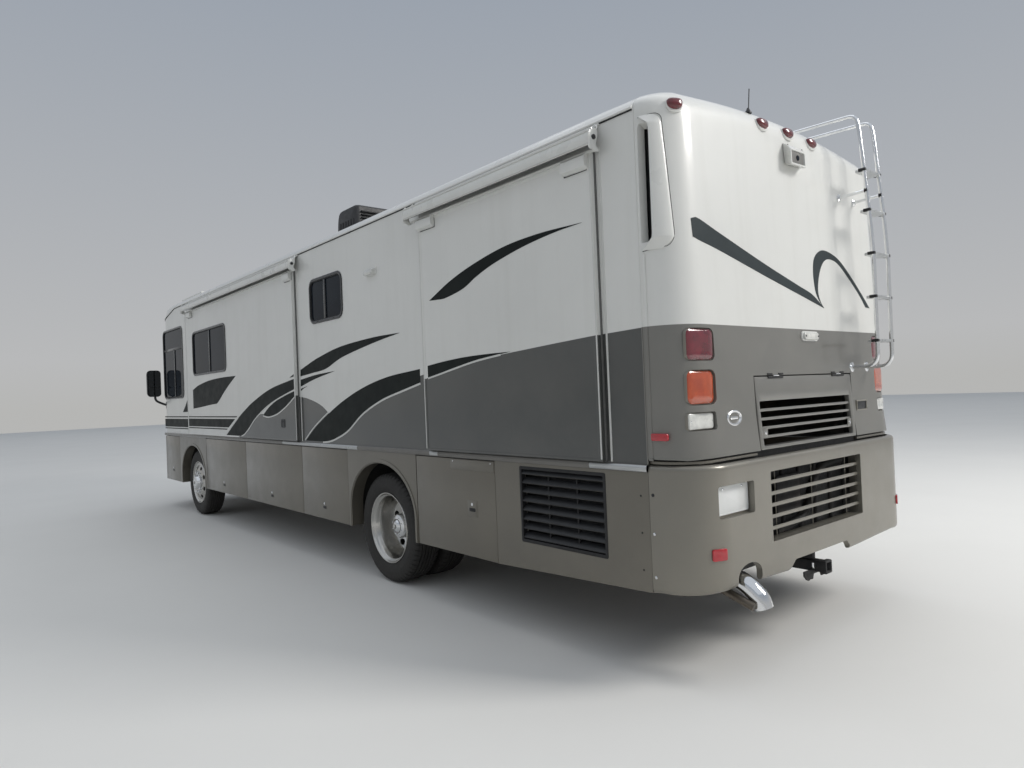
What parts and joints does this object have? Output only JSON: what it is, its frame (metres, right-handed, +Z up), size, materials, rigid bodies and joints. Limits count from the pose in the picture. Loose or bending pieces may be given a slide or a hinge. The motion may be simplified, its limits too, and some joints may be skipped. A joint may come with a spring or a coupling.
{
  "type": "motorhome",
  "caption": "Rear-engine coach-built motorhome with slide-out rooms on the left, opening bay doors, entry door, engine hatch, ladder and steered front wheels.",
  "frame": {"origin": "middle of the bounding box in plan, on the ground", "axes": "+X forward, towards the windshield; +Y to the coach's left, the side with the slide-outs; +Z up"},
  "size_m": [10.61, 3.04, 3.6449],
  "materials": {
    "awning_fabric": "matt",
    "bay_lining": "matt",
    "black_plastic": "satin",
    "body_paint": "gloss",
    "cast_steel": "matt",
    "chassis_black": "matt",
    "chrome": "polished",
    "clear_lens": "gloss",
    "dark_glass": "tinted",
    "dash_plastic": "satin",
    "floor_wood": "matt",
    "lamp_lens": "gloss",
    "pewter_paint": "metallic satin",
    "polished_alloy": "bright",
    "seat_leather": "satin",
    "trim_aluminium": "satin",
    "tyre_rubber": "matt"
  },
  "bodies": {
    "coach": {"belt_rails": "trim_aluminium", "cab_seats": "seat_leather", "chassis_crossmembers": "chassis_black", "chassis_rails": "chassis_black", "coach_floor": "floor_wood", "dashboard": "dash_plastic", "engine": "chassis_black", "entry_steps": "floor_wood", "exhaust_pipe": "chrome", "front_axle": "cast_steel", "front_cap": "body_paint", "front_lamps": "clear_lens", "fuel_tank": "chassis_black", "hitch_receiver": "chassis_black", "ladder": "polished_alloy", "left_basement": "bay_lining", "left_skirt": "pewter_paint", "left_wall": "body_paint", "mirrors": "black_plastic", "patio_awning": "awning_fabric", "radiator": "chassis_black", "rear_axle": "cast_steel", "rear_bumper": "pewter_paint", "rear_cap": "body_paint", "rear_lamps": "lamp_lens", "right_basement": "bay_lining", "right_skirt": "pewter_paint", "right_wall": "body_paint", "roof": "body_paint", "roof_equipment": "black_plastic", "side_windows": "dark_glass", "windshield": "dark_glass"},
    "knuckle_left": {"knuckle_left": "cast_steel"},
    "knuckle_right": {"knuckle_right": "cast_steel"},
    "tie_rod": {"tie_rod": "cast_steel"},
    "steering_wheel": {"steering_wheel": "dash_plastic"},
    "front_left_wheel": {"front_left_tyre": "tyre_rubber", "front_left_rim": "chrome"},
    "front_right_wheel": {"front_right_tyre": "tyre_rubber", "front_right_rim": "chrome"},
    "rear_left_wheels": {"rear_left_tyres": "tyre_rubber", "rear_left_rims": "chrome"},
    "rear_right_wheels": {"rear_right_tyres": "tyre_rubber", "rear_right_rims": "chrome"},
    "entry_door": {"entry_door": "body_paint"},
    "engine_hatch": {"engine_hatch": "pewter_paint"},
    "front_slide": {"front_slide_room": "body_paint", "front_slide_window": "dark_glass", "front_slide_topper": "awning_fabric"},
    "rear_slide": {"rear_slide_room": "body_paint", "rear_slide_topper": "awning_fabric"},
    "left_bay_door_1": {"left_bay_door_1": "pewter_paint"},
    "left_bay_door_2": {"left_bay_door_2": "pewter_paint"},
    "left_bay_door_3": {"left_bay_door_3": "pewter_paint"},
    "left_bay_door_4": {"left_bay_door_4": "pewter_paint"},
    "left_bay_door_5": {"left_bay_door_5": "pewter_paint"},
    "right_bay_door_1": {"right_bay_door_1": "pewter_paint"},
    "right_bay_door_2": {"right_bay_door_2": "pewter_paint"},
    "right_bay_door_3": {"right_bay_door_3": "pewter_paint"},
    "right_bay_door_4": {"right_bay_door_4": "pewter_paint"}
  },
  "joints": [
    {"name": "steer_left", "type": "hinge", "parent": "coach", "child": "knuckle_left", "pos_m": [3.48, 0.95, 0.4645], "axis": [0, 0, 1], "range_deg": [-32, 32]},
    {"name": "steer_right", "type": "hinge", "parent": "coach", "child": "knuckle_right", "pos_m": [3.48, -0.95, 0.4645], "axis": [0, 0, 1], "range_deg": [-32, 32]},
    {"name": "tie_rod_end", "type": "hinge", "parent": "knuckle_left", "child": "tie_rod", "pos_m": [3.24, 0.875, 0.3495], "axis": [0, 0, 1], "range_deg": [-32, 32]},
    {"name": "steering_wheel_turn", "type": "hinge", "parent": "coach", "child": "steering_wheel", "pos_m": [4.43, 0.65, 1.745], "axis": [-0.766, 0, 0.6428], "range_deg": [-480, 480]},
    {"name": "front_left_wheel_spin", "type": "hinge", "parent": "knuckle_left", "child": "front_left_wheel", "pos_m": [3.48, 1.09, 0.4645], "axis": [0, 1, 0], "continuous": true},
    {"name": "front_right_wheel_spin", "type": "hinge", "parent": "knuckle_right", "child": "front_right_wheel", "pos_m": [3.48, -1.09, 0.4645], "axis": [0, 1, 0], "continuous": true},
    {"name": "rear_left_wheel_spin", "type": "hinge", "parent": "coach", "child": "rear_left_wheels", "pos_m": [-1.953, 1.09, 0.4645], "axis": [0, 1, 0], "continuous": true},
    {"name": "rear_right_wheel_spin", "type": "hinge", "parent": "coach", "child": "rear_right_wheels", "pos_m": [-1.953, -1.09, 0.4645], "axis": [0, 1, 0], "continuous": true},
    {"name": "entry_door_hinge", "type": "hinge", "parent": "coach", "child": "entry_door", "pos_m": [4.868, -1.281, 1.545], "axis": [0, 0, 1], "range_deg": [0, 85]},
    {"name": "engine_hatch_hinge", "type": "hinge", "parent": "coach", "child": "engine_hatch", "pos_m": [-5.124, 0, 1.621], "axis": [0, 1, 0], "range_deg": [0, 80]},
    {"name": "left_bay_door_1_hinge", "type": "hinge", "parent": "coach", "child": "left_bay_door_1", "pos_m": [4.5585, 1.281, 1.122], "axis": [1, 0, 0], "range_deg": [0, 85]},
    {"name": "left_bay_door_2_hinge", "type": "hinge", "parent": "coach", "child": "left_bay_door_2", "pos_m": [2.0695, 1.281, 1.122], "axis": [1, 0, 0], "range_deg": [0, 85]},
    {"name": "left_bay_door_3_hinge", "type": "hinge", "parent": "coach", "child": "left_bay_door_3", "pos_m": [0.4645, 1.281, 1.122], "axis": [1, 0, 0], "range_deg": [0, 85]},
    {"name": "left_bay_door_4_hinge", "type": "hinge", "parent": "coach", "child": "left_bay_door_4", "pos_m": [-0.867, 1.281, 1.122], "axis": [1, 0, 0], "range_deg": [0, 85]},
    {"name": "left_bay_door_5_hinge", "type": "hinge", "parent": "coach", "child": "left_bay_door_5", "pos_m": [-3.0415, 1.281, 1.122], "axis": [1, 0, 0], "range_deg": [0, 85]},
    {"name": "right_bay_door_1_hinge", "type": "hinge", "parent": "coach", "child": "right_bay_door_1", "pos_m": [2.0695, -1.281, 1.122], "axis": [-1, 0, 0], "range_deg": [0, 85]},
    {"name": "right_bay_door_2_hinge", "type": "hinge", "parent": "coach", "child": "right_bay_door_2", "pos_m": [0.4645, -1.281, 1.122], "axis": [-1, 0, 0], "range_deg": [0, 85]},
    {"name": "right_bay_door_3_hinge", "type": "hinge", "parent": "coach", "child": "right_bay_door_3", "pos_m": [-0.867, -1.281, 1.122], "axis": [-1, 0, 0], "range_deg": [0, 85]},
    {"name": "right_bay_door_4_hinge", "type": "hinge", "parent": "coach", "child": "right_bay_door_4", "pos_m": [-3.0415, -1.281, 1.122], "axis": [-1, 0, 0], "range_deg": [0, 85]},
    {"name": "front_slide_out", "type": "slide", "parent": "coach", "child": "front_slide", "axis": [0, 1, 0], "range_m": [0, 0.55]},
    {"name": "rear_slide_out", "type": "slide", "parent": "coach", "child": "rear_slide", "axis": [0, 1, 0], "range_m": [0, 0.55]}
  ],
  "couplings": [
    {"joint": "steer_right", "follows": "steer_left", "ratio": 1},
    {"joint": "tie_rod_end", "follows": "steer_left", "ratio": -1},
    {"joint": "steering_wheel_turn", "follows": "steer_left", "ratio": 15}
  ]
}
